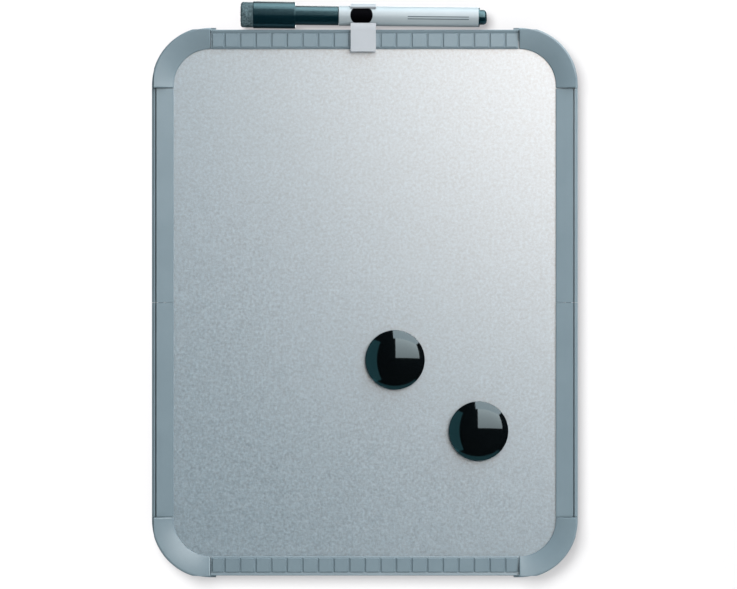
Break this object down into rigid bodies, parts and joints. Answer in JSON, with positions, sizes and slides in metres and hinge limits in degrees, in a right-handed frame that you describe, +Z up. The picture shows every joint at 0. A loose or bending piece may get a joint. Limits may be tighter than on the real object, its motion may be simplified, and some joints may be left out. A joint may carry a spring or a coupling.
{
  "type": "magnetic board",
  "caption": "Upright letter-size magnetic writing board in a rounded plastic frame, with a capped marker held in a clip on the top rail and domed magnets on the panel.",
  "frame": {"origin": "centre of the board's outline, on the plane of the wall that the foam pads stick to", "axes": "+X to the right and +Z up as the board is seen from the front, +Y into the wall"},
  "size_m": [0.216, 0.0158, 0.2926],
  "materials": {
    "panel_paint": "silver paint with fine flake, satin",
    "core_fibreboard": "raw fibreboard",
    "liner_paper": "matt paper",
    "frame_plastic": "satin moulded plastic",
    "joiner_plastic": "matt moulded plastic",
    "pad_foam": "closed-cell foam",
    "clip_plastic": "semi-gloss moulded plastic",
    "barrel_plastic": "semi-gloss extruded plastic",
    "holder_plastic": "matt moulded plastic",
    "nib_felt": "dense ink-soaked fibre",
    "reservoir_fibre": "bundled fibre",
    "cap_plastic": "glossy moulded plastic",
    "eraser_felt": "mottled pressed felt",
    "magnet_plastic": "high-gloss moulded plastic",
    "magnet_ferrite": "sintered ferrite"
  },
  "bodies": {
    "frame": {"writing_panel": "panel_paint", "core_board": "core_fibreboard", "back_liner": "liner_paper", "top_rail": "frame_plastic", "bottom_rail": "frame_plastic", "left_upper_rail": "frame_plastic", "left_lower_rail": "frame_plastic", "right_upper_rail": "frame_plastic", "right_lower_rail": "frame_plastic", "left_rail_joiner": "joiner_plastic", "right_rail_joiner": "joiner_plastic", "corner_top_left": "frame_plastic", "corner_top_right": "frame_plastic", "corner_bottom_left": "frame_plastic", "corner_bottom_right": "frame_plastic", "mounting_pad_1": "pad_foam", "mounting_pad_2": "pad_foam", "mounting_pad_3": "pad_foam", "mounting_pad_4": "pad_foam"},
    "clip": {"marker_clip": "clip_plastic"},
    "marker": {"marker_barrel": "barrel_plastic", "nib_holder": "holder_plastic", "nib": "nib_felt", "ink_reservoir": "reservoir_fibre", "end_plug": "cap_plastic"},
    "cap": {"marker_cap": "cap_plastic", "eraser_pad": "eraser_felt"},
    "magnet_1": {"magnet_1_dome": "magnet_plastic", "magnet_1_disc": "magnet_ferrite"},
    "magnet_2": {"magnet_2_dome": "magnet_plastic", "magnet_2_disc": "magnet_ferrite"}
  },
  "joints": [
    {"name": "clip_slide", "type": "slide", "parent": "frame", "child": "clip", "axis": [1, 0, 0], "range_m": [-0.0675, 0.0695]},
    {"name": "marker_slide", "type": "slide", "parent": "clip", "child": "marker", "axis": [0.9999, 0, -0.0105], "range_m": [-0.072, 0.0055]},
    {"name": "cap_pull", "type": "slide", "parent": "marker", "child": "cap", "axis": [-0.9999, 0, 0.0105], "range_m": [0, 0.045]},
    {"name": "magnet_1_lift", "type": "slide", "parent": "frame", "child": "magnet_1", "axis": [0, -1, 0], "range_m": [0, 0.03]},
    {"name": "magnet_2_lift", "type": "slide", "parent": "frame", "child": "magnet_2", "axis": [0, -1, 0], "range_m": [0, 0.03]}
  ]
}
